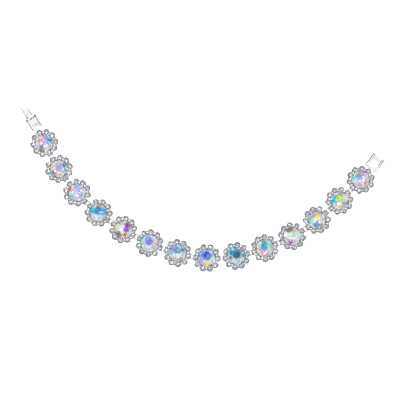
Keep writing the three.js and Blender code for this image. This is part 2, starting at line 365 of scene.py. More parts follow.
def box(x0, x1, y0, y1, z0, z1, edge=EDGE, rounding=2):
    """A block with worked edges, between the given limits."""
    bm = cut_plate([[(x0, y0), (x1, y0), (x1, y1), (x0, y1)]], z1 - z0, edge, rounding)
    return moved(bm, Matrix.Translation((0, 0, (z0 + z1) / 2)))


def joined(parts):
    """One mesh of several, each of which is closed."""
    whole = bmesh.new()
    for part in parts:
        spare = to_mesh(part, "spare")
        whole.from_mesh(spare)
        bpy.data.meshes.remove(spare)
    return whole


def as_bmesh(mesh):
    bm = bmesh.new()
    bm.from_mesh(mesh)
    return bm


def finish_piece(name, mesh, place, material, body, nodes, smooth_angle=35):
    """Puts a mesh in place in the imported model's frame and hands it over to its body."""
    mesh.transform(place)
    if smooth_angle:
        mesh.shade_smooth()
        mesh.set_sharp_from_angle(angle=math.radians(smooth_angle))
    else:
        mesh.shade_flat()
    mesh.materials.clear()
    mesh.materials.append(material)
    mesh.update()
    piece = link(bpy.data.objects.new(name, mesh))
    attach(piece, body)
    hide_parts(*nodes)
    return piece


# ---------------------------------------------------------------- node trees

class Tree:
    """Short way to write a node tree: add nodes with their inputs, and link by socket."""

    def __init__(self, tree):
        self.tree = tree

    def add(self, kind, inputs=None, **settings):
        node = self.tree.nodes.new(kind)
        for key, value in settings.items():
            setattr(node, key, value)
        for key, value in (inputs or {}).items():
            if isinstance(value, bpy.types.NodeSocket):
                self.tree.links.new(value, node.inputs[key])
            else:
                node.inputs[key].default_value = value
        return node

    def math(self, operation, a, b=0.0):
        return self.add("ShaderNodeMath", {0: a, 1: b}, operation=operation).outputs[0]


def ring_tree():
    """Sets copies of a piece round a ring, each turned to face outwards."""
    tree = bpy.data.node_groups.new("set_round_a_ring", "GeometryNodeTree")
    face = tree.interface
    face.new_socket("Geometry", in_out="INPUT", socket_type="NodeSocketGeometry")
    for name, kind in (
        ("Piece", "NodeSocketObject"),
        ("Count", "NodeSocketInt"),
        ("Ring radius", "NodeSocketFloat"),
        ("First angle", "NodeSocketFloat"),
        ("Loose turn", "NodeSocketFloat"),
        ("Lug clearance", "NodeSocketFloat"),
        ("Seed", "NodeSocketInt"),
        ("Finish", "NodeSocketMaterial"),
    ):
        face.new_socket(name, in_out="INPUT", socket_type=kind)
    face.new_socket("Geometry", in_out="OUTPUT", socket_type="NodeSocketGeometry")
    t = Tree(tree)
    given = t.add("NodeGroupInput").outputs
    index = t.add("GeometryNodeInputIndex").outputs[0]
    step = t.math("DIVIDE", FULL_TURN, given["Count"])
    angle = t.math("ADD", t.math("MULTIPLY", index, step), given["First angle"])
    x = t.math("MULTIPLY", t.math("COSINE", angle), given["Ring radius"])
    y = t.math("MULTIPLY", t.math("SINE", angle), given["Ring radius"])
    place = t.add("ShaderNodeCombineXYZ", {0: x, 1: y}).outputs[0]
    points = t.add("GeometryNodePoints", {"Count": given["Count"], "Position": place}).outputs[0]
    back = t.math("MULTIPLY", given["Loose turn"], -1.0)
    loose = t.add(
        "FunctionNodeRandomValue",
        {2: back, 3: given["Loose turn"], "Seed": given["Seed"]},
        data_type="FLOAT",
    ).outputs[1]
    turn = t.add("ShaderNodeCombineXYZ", {2: t.math("ADD", angle, loose)}).outputs[0]
    clear = t.math("GREATER_THAN", t.math("ABSOLUTE", y), given["Lug clearance"])
    piece = t.add("GeometryNodeObjectInfo", {"Object": given["Piece"]}).outputs["Geometry"]
    copies = t.add(
        "GeometryNodeInstanceOnPoints",
        {"Points": points, "Selection": clear, "Instance": piece, "Rotation": turn},
    ).outputs[0]
    own = t.add(
        "FunctionNodeRandomValue",
        {2: 0.0, 3: 1.0, "Seed": t.math("ADD", given["Seed"], 1.0)},
        data_type="FLOAT",
    ).outputs[1]
    numbered = t.add(
        "GeometryNodeStoreNamedAttribute",
        {"Geometry": copies, "Name": "stone", "Value": own},
        data_type="FLOAT",
        domain="INSTANCE",
    ).outputs[0]
    real = t.add("GeometryNodeRealizeInstances", {"Geometry": numbered}).outputs[0]
    done = t.add("GeometryNodeSetMaterial", {"Geometry": real, "Material": given["Finish"]}).outputs[0]
    t.add("NodeGroupOutput", {"Geometry": done})
    return tree


RING = ring_tree()


def set_round(mesh, material, **values):
    """A plain mesh of copies of mesh, set round a ring by the tree above."""
    stock = link(bpy.data.objects.new("stock", mesh))
    holder = link(bpy.data.objects.new("holder", bpy.data.meshes.new("holder")))
    modifier = holder.modifiers.new("ring", "NODES")
    modifier.node_group = RING
    sockets = {s.name: s.identifier for s in RING.interface.items_tree if s.in_out == "INPUT"}
    defaults = {"First angle": 0.0, "Loose turn": 0.0, "Lug clearance": -1.0, "Seed": 0}
    for name, value in {**defaults, **values, "Piece": stock, "Finish": material}.items():
        modifier[sockets[name]] = value
    depsgraph = bpy.context.evaluated_depsgraph_get()
    result = bpy.data.meshes.new_from_object(holder.evaluated_get(depsgraph))
    bpy.data.objects.remove(holder)
    bpy.data.objects.remove(stock)
    return result


# ---------------------------------------------------------------- finishes

# Size of the sparkle inside a stone, in metres, and how far its patches are tipped.
SMALL_SPARKLE = 0.42 * MM
SMALL_TILT = 0.44
LARGE_SPARKLE = 0.6 * MM
LARGE_TILT = 0.24
# Below this height above the back, in metres, the plating gets rougher, and its colour is painted darker
# and warmer as painted shade.
SHADE_AND_DULL_UP_TO = 2.2 * MM


def srgb(code):
    """Linear colour from a hex code."""
    parts = [int(code[i:i + 2], 16) / 255 for i in (0, 2, 4)]
    return tuple(p / 12.92 if p <= 0.04045 else ((p + 0.055) / 1.055) ** 2.4 for p in parts) + (1.0,)


def ramp(t, value, stops):
    """A colour ramp over value, through stops of (place, colour)."""
    node = t.add("ShaderNodeValToRGB", {0: value})
    while len(node.color_ramp.elements) < len(stops):
        node.color_ramp.elements.new(0.5)
    for element, (place, colour) in zip(node.color_ramp.elements, stops):
        element.position = place
        element.color = colour
    return node.outputs[0]


def grey(value, warmth=0.0):
    """A neutral tone, or a slightly warm one."""
    return (value * (1 + warmth), value, value * (1 - warmth), 1.0)


def new_material(name):
    material = bpy.data.materials.new(name)
    material.use_nodes = True
    material.node_tree.nodes.clear()
    t = Tree(material.node_tree)
    shader = t.add("ShaderNodeBsdfPrincipled")
    t.add("ShaderNodeOutputMaterial", {"Surface": shader.outputs[0]})
    return material, t, shader


def connect(t, socket, shader, name):
    t.tree.links.new(socket, shader.inputs[name])


def plated_metal():
    """Bright rhodium-coloured plating: near-white, with faint polishing lines. Towards the back it is
    rougher, where the polishing wheel doesn't reach, and its colour is painted darker and warmer there
    as painted shade."""
    material, t, shader = new_material("bright_rhodium_plating")
    place = t.add("ShaderNodeTexCoord").outputs["Object"]
    broad = t.add("ShaderNodeTexNoise", {"Vector": place, "Scale": 420.0, "Detail": 4.0}).outputs[0]
    fine = t.add("ShaderNodeTexNoise", {"Vector": place, "Scale": 2600.0, "Detail": 2.0}).outputs[0]
    height = t.add("ShaderNodeSeparateXYZ", {0: place}).outputs[2]
    # Painted shade low down: towards the back the colour turns darker and warmer. The same mask, with
    # random tone from the broad noise, also makes the plating rougher.
    low = t.add(
        "ShaderNodeMapRange", {0: height, 1: 0.0, 2: SHADE_AND_DULL_UP_TO, 3: 1.0, 4: 0.0}
    ).outputs[0]
    dull_and_shade = t.math("MULTIPLY", low, 0.55)
    dull_and_shade = t.math("ADD", dull_and_shade, t.math("MULTIPLY", broad, 0.35))
    colour = ramp(t, dull_and_shade, [(0.1, grey(0.86)), (0.55, grey(0.88, 0.01)), (1.0, grey(0.72, 0.02))])
    rough = t.math("ADD", t.math("MULTIPLY", dull_and_shade, 0.16), 0.07)
    connect(t, colour, shader, "Base Color")
    connect(t, rough, shader, "Roughness")
    bump = t.add("ShaderNodeBump", {"Strength": 0.12, "Distance": 0.02 * MM, "Height": fine})
    connect(t, bump.outputs[0], shader, "Normal")
    shader.inputs["Metallic"].default_value = 1.0
    return material


def inner_sparkle(t, cell_size, tilt):
    """A normal tipped differently in each small patch, as the back facets look through a stone. Returns
    it with the patches' own random colours."""
    place = t.add("ShaderNodeTexCoord").outputs["Object"]
    cells = t.add(
        "ShaderNodeTexVoronoi", {"Vector": place, "Scale": 1 / cell_size}, feature="F1"
    ).outputs["Color"]
    lean = t.add("ShaderNodeVectorMath", {0: cells, 1: (0.5, 0.5, 0.5)}, operation="SUBTRACT").outputs[0]
    lean = t.add("ShaderNodeVectorMath", {0: lean, "Scale": tilt}, operation="SCALE").outputs[0]
    facing = t.add("ShaderNodeNewGeometry").outputs["Normal"]
    tipped = t.add("ShaderNodeVectorMath", {0: facing, 1: lean}, operation="ADD").outputs[0]
    return t.add("ShaderNodeVectorMath", {0: tipped}, operation="NORMALIZE").outputs[0], cells


def clear_crystal():
    """Small clear stones with a foil behind them: each facet is painted white, grey or dark, as painted
    reflections and flashes, with a faint pastel tint.
    """
    material, t, shader = new_material("foiled_clear_crystal")
    facet = t.add("ShaderNodeAttribute", attribute_name="facet").outputs["Fac"]
    stone = t.add("ShaderNodeAttribute", attribute_name="stone").outputs["Fac"]
    mixed = t.add("ShaderNodeCombineXYZ", {0: facet, 1: t.math("MULTIPLY", stone, 97.0)}).outputs[0]
    pick = t.add("ShaderNodeTexWhiteNoise", {"Vector": mixed}, noise_dimensions="3D").outputs
    # Painted reflections: each facet's grey, from white to dark, is painted into its colour as the flash
    # or dark reflection it shows.
    base = ramp(t, pick["Value"], [
        (0.0, grey(0.2, -0.05)),
        (0.14, grey(0.35, -0.03)),
        (0.34, grey(0.45)),
        (0.6, grey(0.54)),
        (0.84, grey(0.65)),
    ])
    base.node.color_ramp.interpolation = "CONSTANT"
    hue = ramp(t, t.add("ShaderNodeSeparateColor", {0: pick["Color"]}).outputs[1], [
        (0.0, srgb("ffe3f0")),
        (0.25, srgb("d3e4ff")),
        (0.5, srgb("ffffff")),
        (0.75, srgb("e9ecff")),
        (0.9, srgb("fff3da")),
        (1.0, srgb("dccbff")),
    ])
    painted_flash_colour = t.add(
        "ShaderNodeMix", {0: 0.6, 6: base, 7: hue}, data_type="RGBA", blend_type="MULTIPLY"
    ).outputs[2]
    connect(t, painted_flash_colour, shader, "Base Color")
    normal, cells = inner_sparkle(t, SMALL_SPARKLE, SMALL_TILT)
    connect(t, normal, shader, "Normal")
    worn = t.add("ShaderNodeSeparateColor", {0: cells}).outputs[0]
    connect(t, t.math("ADD", t.math("MULTIPLY", worn, 0.08), 0.03), shader, "Roughness")
    shader.inputs["Metallic"].default_value = 0.35
    shader.inputs["Coat Weight"].default_value = 1.0
    shader.inputs["Coat Roughness"].default_value = 0.02
    return material


def coated_crystal():
    """Large stones with an iridescent coat: soft patches of colour from the coat attribute, with its
    painted glints and painted shade, each inner facet a little off in hue, depth and brightness, under a
    thin clear gloss."""
    material, t, shader = new_material("iridescent_coated_crystal")
    coat = t.add("ShaderNodeAttribute", attribute_name="coat").outputs["Color"]
    normal, cells = inner_sparkle(t, LARGE_SPARKLE, LARGE_TILT)
    part = t.add("ShaderNodeSeparateColor", {0: cells}).outputs
    hue = t.math("ADD", t.math("MULTIPLY", part[0], 0.06), 0.47)
    saturation = t.math("ADD", t.math("MULTIPLY", part[2], 0.45), 0.7)
    value = t.math("ADD", t.math("MULTIPLY", part[1], 0.5), 0.65)
    shade = t.add(
        "ShaderNodeHueSaturation", {"Hue": hue, "Saturation": saturation, "Value": value, "Color": coat}
    )
    connect(t, shade.outputs[0], shader, "Base Color")
    connect(t, normal, shader, "Normal")
    connect(t, t.math("ADD", t.math("MULTIPLY", part[1], 0.08), 0.03), shader, "Roughness")
    shader.inputs["Metallic"].default_value = 0.15
    shader.inputs["Specular IOR Level"].default_value = 0.2
    shader.inputs["Coat Weight"].default_value = 0.6
    shader.inputs["Coat Roughness"].default_value = 0.02
    return material


METAL = plated_metal()
CLEAR = clear_crystal()
COATED = coated_crystal()

# ---------------------------------------------------------------- crystals

COLOURS = {
    "white": "ffffff", "ice": "d8f0fa", "cream": "f6e4c4", "grey": "8c8c90", "pink": "f6b4d2",
    "blush": "f3cfcf", "salmon": "e9b09c", "coral": "f08c86", "red": "ea6038", "crimson": "b0206a",
    "orange": "db9a60", "amber": "f0cf92", "yellow": "f2e04a", "butter": "fae29a", "gold": "cdac50",
    "olive": "a89c24", "mustard": "c8b050", "lime": "d4ee5c", "green": "c0dfc0", "leaf": "30a064",
    "mint": "a0ecda", "aqua": "a0ece8", "cyan": "2edcf2", "teal": "005c78", "lagoon": "34b0d8",
    "cerulean": "1484c4", "azure": "52baf2", "sky": "a2cef4", "blue": "669cdc", "royal": "4a62dc",
    "indigo": "7c80ea", "violet": "7450b4", "purple": "a078ca", "magenta": "a23cac", "mauve": "dab0de",
    "lilac": "bcb2ee",
}
# What each large stone's coat shows, from the clasp to the catch: colour, direction from the stone's
# middle in degrees from +X, distance from the middle, and size. The last two are shares of its radius.
COATS = [
    [  # Flower 1.
        ("pink", 126, 0.35, 0.34), ("azure", 29, 0.62, 0.3), ("ice", 194, 0.85, 0.25),
        ("purple", 236, 0.58, 0.22), ("amber", 256, 0.86, 0.2), ("lilac", 95, 0.9, 0.25),
    ],
    [  # Flower 2.
        ("yellow", 154, 0.9, 0.2), ("sky", 19, 0.7, 0.32), ("lilac", 75, 0.15, 0.34),
        ("salmon", 258, 0.66, 0.28), ("lagoon", 207, 0.85, 0.16), ("olive", 51, 0.78, 0.12),
    ],
    [  # Flower 3.
        ("red", 149, 0.86, 0.2), ("sky", 88, 0.82, 0.26), ("lilac", 60, 0.26, 0.26),
        ("aqua", 214, 0.7, 0.2), ("coral", 228, 0.97, 0.12), ("lilac", 331, 0.48, 0.26),
    ],
    [  # Flower 4.
        ("cyan", 157, 0.86, 0.3), ("cerulean", 103, 0.22, 0.32), ("azure", 19, 0.66, 0.3),
        ("mustard", 82, 0.92, 0.22), ("ice", 264, 0.6, 0.34),
    ],
    [  # Flower 5.
        ("olive", 112, 0.92, 0.2), ("lime", 159, 0.9, 0.2), ("magenta", 36, 0.64, 0.26),
        ("orange", 288, 0.68, 0.22), ("grey", 222, 0.7, 0.24), ("violet", 0, 0.35, 0.2),
    ],
    [  # Flower 6.
        ("indigo", 100, 0.3, 0.33), ("sky", 104, 0.88, 0.26), ("blush", 336, 0.55, 0.22),
        ("mint", 163, 0.8, 0.16),
    ],
    [  # Flower 7.
        ("blue", 97, 0.4, 0.3), ("sky", 37, 0.8, 0.32), ("sky", 169, 0.78, 0.26),
        ("cream", 250, 0.5, 0.26), ("lilac", 120, 0.9, 0.22),
    ],
    [  # Flower 8.
        ("royal", 90, 0.3, 0.38), ("azure", 155, 0.8, 0.24), ("yellow", 284, 0.58, 0.22),
        ("lilac", 210, 0.78, 0.24), ("aqua", 14, 0.88, 0.24),
    ],
    [  # Flower 9.
        ("teal", 75, 0.2, 0.34), ("lagoon", 145, 0.72, 0.22), ("ice", 285, 0.66, 0.28),
        ("azure", 88, 0.82, 0.2), ("lagoon", 5, 0.84, 0.16), ("sky", 200, 0.76, 0.2),
        ("pink", 80, 1.0, 0.1),
    ],
    [  # Flower 10.
        ("lagoon", 114, 0.3, 0.34), ("mint", 36, 0.7, 0.28), ("pink", 258, 0.6, 0.26),
        ("gold", 93, 0.92, 0.18), ("cream", 163, 0.8, 0.2),
    ],
    [  # Flower 11.
        ("green", 100, 0.3, 0.34), ("crimson", 103, 0.86, 0.2), ("violet", 130, 0.96, 0.2),
        ("white", 158, 0.8, 0.25), ("mauve", 265, 0.6, 0.28), ("amber", 52, 0.96, 0.16),
    ],
    [  # Flower 12.
        ("butter", 80, 0.42, 0.34), ("aqua", 172, 0.9, 0.3), ("blue", 266, 0.5, 0.24),
        ("lilac", 114, 0.92, 0.26),
    ],
    [  # Flower 13.
        ("cyan", 176, 0.74, 0.34), ("lime", 92, 0.3, 0.34), ("butter", 266, 0.74, 0.22),
        ("blue", 318, 0.66, 0.18), ("lilac", 75, 0.9, 0.22), ("leaf", 140, 0.66, 0.12),
    ],
    [  # Flower 14.
        ("aqua", 172, 0.84, 0.3), ("blue", 142, 0.4, 0.28), ("lime", 128, 0.92, 0.16),
        ("mauve", 80, 0.7, 0.28), ("pink", 248, 0.62, 0.22), ("coral", 323, 0.6, 0.14),
    ],
]
BARE_CRYSTAL = "e3eaf5"
# How wide and how sharp-edged a patch of coat is, and how fully the patches cover the bare crystal.
GLOW_SPREAD = 1.45
GLOW_EDGE = 4
COAT_COVER = 1.3
# Brightness of the coat in the middle of a stone and at its edge: painted shade in the middle, painted
# light at the edge.
MIDDLE_PAINTED_SHADE = 0.72
EDGE_PAINTED_LIGHT = 1.2
# Shares of the crown's facets with a painted dark reflection and with a painted white glint, and how
# much they change the coat's colour.
PAINTED_DARK_FACETS = 0.08
PAINTED_GLINT_FACETS = 0.12
PAINTED_DARK_TONE = (0.45, 0.65)
PAINTED_GLINT_TONE = (0.3, 0.6)
PLAIN_LIGHT = (0.78, 1.12)
# The table is cut finer, so that the coat's patches shade softly across it.
TABLE_CUTS = 4
TABLE_FLATNESS = 0.9
# Cut of every stone, as shares of its own sizes: where the crown's facets meet between table and girdle,
# outwards and downwards, the star in the table, the dip in its middle, and the break in the back.
CROWN_OUT = 0.42
CROWN_DOWN = 0.36
STAR_R = 0.48
STAR_DIP = 0.4
BACK_BREAK = 0.5


def brilliant(radius, table_r, girdle_z, girdle_h, table_z, culet_z, folds, relief):
    """A round brilliant, with its facets repeated folds times round it. The table is cut into the star
    that the back facets show through it, each piece tipped a little by relief."""
    bm = bmesh.new()
    crown_z = girdle_z + girdle_h
    break_r = table_r + CROWN_OUT * (radius - table_r)
    break_z = table_z - CROWN_DOWN * (table_z - crown_z)
    centre = bm.verts.new((0, 0, table_z - relief * STAR_DIP))
    star = level_ring(bm, table_r * STAR_R, table_z - relief, folds, 0.5)
    table = level_ring(bm, table_r, table_z, folds)
    breaks = level_ring(bm, break_r, break_z, folds, 0.5)
    upper = level_ring(bm, radius, crown_z, 2 * folds)
    lower = level_ring(bm, radius, girdle_z, 2 * folds)
    back_z = girdle_z + BACK_BREAK * (culet_z - girdle_z)
    back = level_ring(bm, radius * BACK_BREAK, back_z, folds, 0.5)
    culet = bm.verts.new((0, 0, culet_z))
    for i in range(folds):
        j = (i + 1) % folds
        before = (i - 1) % folds
        bm.faces.new((centre, star[before], table[i]))
        bm.faces.new((centre, table[i], star[i]))
        bm.faces.new((star[i], table[i], table[j]))
        bm.faces.new((table[i], breaks[i], table[j]))
        bm.faces.new((table[i], breaks[before], upper[2 * i], breaks[i]))
        bm.faces.new((breaks[i], upper[2 * i], upper[2 * i + 1]))
        bm.faces.new((breaks[i], upper[2 * i + 1], upper[(2 * i + 2) % (2 * folds)]))
        bm.faces.new((lower[2 * i], lower[2 * i + 1], back[i]))
        bm.faces.new((lower[2 * i + 1], lower[(2 * i + 2) % (2 * folds)], back[i]))
        bm.faces.new((culet, back[before], lower[2 * i], back[i]))
    for k in range(2 * folds):
        m = (k + 1) % (2 * folds)
        bm.faces.new((upper[k], lower[k], lower[m], upper[m]))
    bmesh.ops.recalc_face_normals(bm, faces=bm.faces)
    return bm


def small_stone():
    """One small stone of the halo, with its facets numbered."""
    bm = brilliant(
        HALO_STONE_R, HALO_TABLE_R, HALO_GIRDLE_Z, HALO_GIRDLE_H, HALO_TABLE_Z, HALO_CULET_Z,
        HALO_FOLDS, HALO_RELIEF,
    )
    mesh = to_mesh(bm, "small_stone")
    facet = mesh.attributes.new("facet", "FLOAT", "FACE")
    for i, value in enumerate(facet.data):
        value.value = float(i)
    return mesh


def coat_colour(glows, x, y):
    """The coat's colour at a place on a stone, in shares of its radius."""
    total = [0.0, 0.0, 0.0]
    shares = 0.0
    for name, angle, reach, size in glows:
        gx = reach * math.cos(math.radians(angle))
        gy = reach * math.sin(math.radians(angle))
        share = math.exp(-(math.hypot(x - gx, y - gy) / (GLOW_SPREAD * size)) ** GLOW_EDGE)
        total = [a + share * b for a, b in zip(total, srgb(COLOURS[name]))]
        shares += share
    cover = min(1.0, shares * COAT_COVER)
    bare = srgb(BARE_CRYSTAL)
    # Painted light: the coat is painted darker in the middle of the stone and brighter towards its edge.
    depth = MIDDLE_PAINTED_SHADE + (EDGE_PAINTED_LIGHT - MIDDLE_PAINTED_SHADE) * min(1.0, x * x + y * y)
    return [depth * (cover * a / max(shares, 1e-6) + (1 - cover) * b) for a, b in zip(total, bare)]


def facet_tone_and_painted_light(chance):
    """How one facet changes the coat's colour: most only a little, at random; some are painted dark as a
    painted reflection, some painted white as a painted glint.
    """
    draw = chance.random()
    if draw < PAINTED_DARK_FACETS:
        return chance.uniform(*PAINTED_DARK_TONE), 0.0
    if draw > 1 - PAINTED_GLINT_FACETS:
        return 1.0, chance.uniform(*PAINTED_GLINT_TONE)
    return chance.uniform(*PLAIN_LIGHT), 0.0


def on_table(place):
    return place.xy.length < CENTRE_TABLE_R


def large_stone(number, heading):
    """One large stone. Its coat's colours keep their directions whatever way the flower is turned."""
    bm = brilliant(
        CENTRE_R, CENTRE_TABLE_R, CENTRE_GIRDLE_Z, CENTRE_GIRDLE_H, CENTRE_TABLE_Z, CENTRE_CULET_Z,
        CENTRE_FOLDS, CENTRE_RELIEF,
    )
    table = [
        f for f in bm.faces
        if on_table(f.calc_center_median()) and f.normal.z > TABLE_FLATNESS
    ]
    edges = list(dict.fromkeys(e for f in table for e in f.edges))
    bmesh.ops.subdivide_edges(bm, edges=edges, cuts=TABLE_CUTS, use_grid_fill=True)
    mesh = to_mesh(bm, "large_stone")
    coat = mesh.color_attributes.new("coat", "FLOAT_COLOR", "CORNER")
    chance = random.Random(number)
    turn = Matrix.Rotation(heading, 3, "Z")
    for polygon in mesh.polygons:
        # Each crown facet gets a random tone, and some a painted dark reflection or a painted white
        # glint; the table keeps the coat as it is.
        tone_and_painted_shade, white = (1.0, 0.0) if on_table(polygon.center) else facet_tone_and_painted_light(chance)
        for loop in polygon.loop_indices:
            corner = mesh.vertices[mesh.loops[loop].vertex_index].co
            # Mostly the facet's own middle, so that each facet keeps nearly one colour.
            spot = turn @ ((corner + 2 * polygon.center) / (3 * CENTRE_R))
            coated = coat_colour(COATS[number - 1], spot.x, spot.y)
            tone = [min(1.0, v * tone_and_painted_shade) for v in coated]
            coat.data[loop].color = (*(v + white * (1 - v) for v in tone), 1.0)
    return mesh


# ---------------------------------------------------------------- settings

def cup():
    """One small cup, turned, with a rolled lip and a seat for the stone."""
    lip = CUP_RIM_Z
    inner = CUP_R - CUP_LIP
    profile = [
        # The round bottom.
        (0, CUP_FLOOR_Z),
        (0.8, CUP_FLOOR_Z),
        (1.05, CUP_FLOOR_Z + 0.08),
        (1.24, CUP_FLOOR_Z + 0.34),
        (CUP_R - 0.03, CUP_FLOOR_Z + 0.62),
        # The wall and the roll of the lip.
        (CUP_R, lip - 0.24),
        (CUP_R - 0.005, lip - 0.16),
        (CUP_R - 0.08, lip - 0.1),
        (CUP_R - 0.16, lip - 0.03),
        (inner + 0.01, lip),
        # The seat inside.
        (inner - 0.03, lip - 0.03),
        (inner - 0.03, lip - 0.2),
        (0.95, lip - 0.45),
        (0, CUP_FLOOR_Z + 0.3),
    ]
    return to_mesh(turned(profile, CUP_SIDES), "cup")


def bead():
    """A grain of metal pushed over the small stone's edge."""
    bm = bmesh.new()
    bmesh.ops.create_icosphere(bm, subdivisions=1, radius=BEAD_R)
    moved(bm, Matrix.Translation(BEAD_PLACE) @ Matrix.Diagonal(BEAD_SHAPE))
    return to_mesh(bm, "bead")


def beaded_cup():
    """A cup with its beads, set round it by the same tree."""
    spread = {"Count": BEADS_PER_CUP, "Ring radius": 0.0, "First angle": math.pi / BEADS_PER_CUP}
    beads = set_round(bead(), METAL, **spread)
    return to_mesh(joined([as_bmesh(cup()), as_bmesh(beads)]), "beaded_cup")


def post():
    """A leg between the back plate and a cup."""
    lean = [(-0.9, 0, BACK_PLATE_T / 2), (-0.75, 0, 0.75), (-0.35, 0, CUP_FLOOR_Z + 0.15)]
    return to_mesh(wire(lean, POST_R, taper=[1.25, 0.85, 1.15]), "post")


def bridge():
    """Solder between two cups."""
    run = [(0, y, CUP_FLOOR_Z + 0.5) for y in (-0.3, -0.12, 0.12, 0.3)]
    return to_mesh(wire(run, BRIDGE_R, taper=[1.1, 0.8, 0.8, 1.1]), "bridge")


def claw():
    """A claw that rises between two cups and bends over the large stone's edge."""
    path = [
        (CENTRE_R + 0.1, 0, CUP_FLOOR_Z + 0.3),
        (CENTRE_R + 0.2, 0, CENTRE_GIRDLE_Z - 0.5),
        (CENTRE_R + 0.22, 0, CENTRE_GIRDLE_Z + 0.05),
        (CENTRE_R + 0.14, 0, CENTRE_GIRDLE_Z + 0.32),
        (CENTRE_R - 0.06, 0, CENTRE_GIRDLE_Z + 0.5),
        (CENTRE_R - 0.28, 0, CENTRE_GIRDLE_Z + 0.62),
        (CENTRE_R - 0.36, 0, CENTRE_GIRDLE_Z + 0.63),
    ]
    return to_mesh(wire(path, CLAW_R, taper=[1.1, 1, 1, 0.95, 0.9, 0.7, 0.35]), "claw")


def collet():
    """Back plate and the cone that holds the large stone, turned in one piece."""
    rim = CENTRE_GIRDLE_Z - 0.02
    profile = [
        # The back plate and its rounded edge.
        (0, 0),
        (BACK_PLATE_R - 0.12, 0),
        (BACK_PLATE_R - 0.03, 0.05),
        (BACK_PLATE_R, BACK_PLATE_T / 2),
        (BACK_PLATE_R - 0.03, BACK_PLATE_T - 0.05),
        (BACK_PLATE_R - 0.12, BACK_PLATE_T),
        # The cone, up to its rim.
        (2.5, BACK_PLATE_T),
        (2.42, BACK_PLATE_T + 0.1),
        (2.95, 1.6),
        (3.12, 2.3),
        (CENTRE_R - 0.06, rim - 0.05),
        (CENTRE_R - 0.08, rim),
        # The seat inside, down to the stone's point.
        (CENTRE_R - 0.06 - COLLET_WALL, rim - 0.02),
        (2.95, 2.3),
        (0, CENTRE_CULET_Z - 0.07),
    ]
    return turned(profile, COLLET_SIDES)


def web():
    """The web of metal that joins the cups to the collet. It slopes down to its outer edge."""
    top = CUP_RIM_Z - WEB_DROP
    low = top - WEB_T
    inner = CENTRE_R - WEB_TUCK
    profile = [
        (inner, low),
        (WEB_R - WEB_EDGE, low - WEB_FALL),
        (WEB_R, low - WEB_FALL + WEB_EDGE),
        (WEB_R, top - WEB_FALL - WEB_EDGE),
        (WEB_R - WEB_EDGE, top - WEB_FALL),
        (inner, top),
    ]
    return hoop(profile, WEB_SIDES)


def lug(reach):
    """An ear under an end cup, with its hole."""
    outline = [
        (LUG_ROOT_X, LUG_Z + LUG_R), (LUG_ROOT_X, LUG_Z - LUG_R),
        *arc(reach, LUG_Z, LUG_R, -90, 90, 14),
    ]
    hole = circle(reach, LUG_Z, LUG_HOLE_R, 20)
    return upright(cut_plate([outline, hole], LUG_T), 0)


def setting(back_reach, front_reach):
    """The whole casting of one flower. The reaches are those of its two lugs."""
    half_step = math.pi / HALO_STONES
    at_cups = {"Count": HALO_STONES, "Ring radius": HALO_R}
    under_cups = {**at_cups, "Lug clearance": POST_LUG_CLEARANCE}
    between_cups = {
        "Count": HALO_STONES, "Ring radius": HALO_R * math.cos(half_step), "First angle": half_step
    }
    at_claws = {"Count": CLAWS, "Ring radius": 0.0, "First angle": half_step}
    parts = [
        collet(),
        web(),
        as_bmesh(set_round(beaded_cup(), METAL, **at_cups)),
        as_bmesh(set_round(post(), METAL, **under_cups)),
        as_bmesh(set_round(bridge(), METAL, **between_cups)),
        as_bmesh(set_round(claw(), METAL, **at_claws)),
        lug(front_reach),
        moved(lug(back_reach), Matrix.Rotation(math.pi, 4, "Z")),
    ]
    return to_mesh(joined(parts), "setting")


def make_flower(body):
    """A flower's setting, its large stone and its ring of small stones."""
    tag = body[-2:]
    number = int(tag)
    place = flower_seat(body)
    heading = math.atan2(place[1][0], place[0][0])
    shell = setting(lug_reach(body, False), lug_reach(body, True))
    finish_piece(
        f"flower_setting_{tag}", shell, place, METAL, body, [f"setting_{tag}"]
    )
    gem = large_stone(number, heading)
    finish_piece(
        f"large_crystal_{tag}", gem, place, COATED, body, [f"centre_stone_{tag}"],
        smooth_angle=0,
    )
    round_gem = {"Count": HALO_STONES, "Ring radius": HALO_R, "Loose turn": HALO_LOOSE_TURN}
    halo = set_round(small_stone(), CLEAR, Seed=number, **round_gem)
    finish_piece(
        f"small_crystals_{tag}", halo, place, CLEAR, body, [f"halo_stones_{tag}"],
        smooth_angle=0,
    )


# ---------------------------------------------------------------- links and ends

def make_ring(body):
    """The wire link between two flowers: a rounded oblong through both lugs."""
    place, reach = ring_seat(body)
    x = reach / 2 - RING_BEND_R
    y = RING_HALF_W - RING_BEND_R
    bends = [(x, y, 0), (-x, y, 90), (-x, -y, 180), (x, -y, 270)]
    path = [p for cx, cy, start in bends for p in arc(cx, cy, RING_BEND_R, start, start + 90, 6)]
    bm = wire([(px, py, LUG_Z) for px, py in path], WIRE_R, closed=True, sides=4)
    tag = body[-2:]
    name = f"wire_ring_{tag}"
    finish_piece(name, to_mesh(bm, name), place, METAL, body, [f"link_ring_{tag}"])


def cross_bar(x, z, radius, length, dome=0.0):
    """A round bar across the chain, with domed ends if dome is more than 0."""
    half = length / 2
    profile = [
        (0, -half - dome),
        (radius * 0.7, -half - dome * 0.6),
        (radius, -half),
        (radius, half),
        (radius * 0.7, half + dome * 0.6),
        (0, half + dome),
    ]
    lay = Matrix.Translation((x, 0, z)) @ Matrix.Rotation(math.pi / 2, 4, "X")
    return moved(turned(profile, BAR_SIDES), lay)


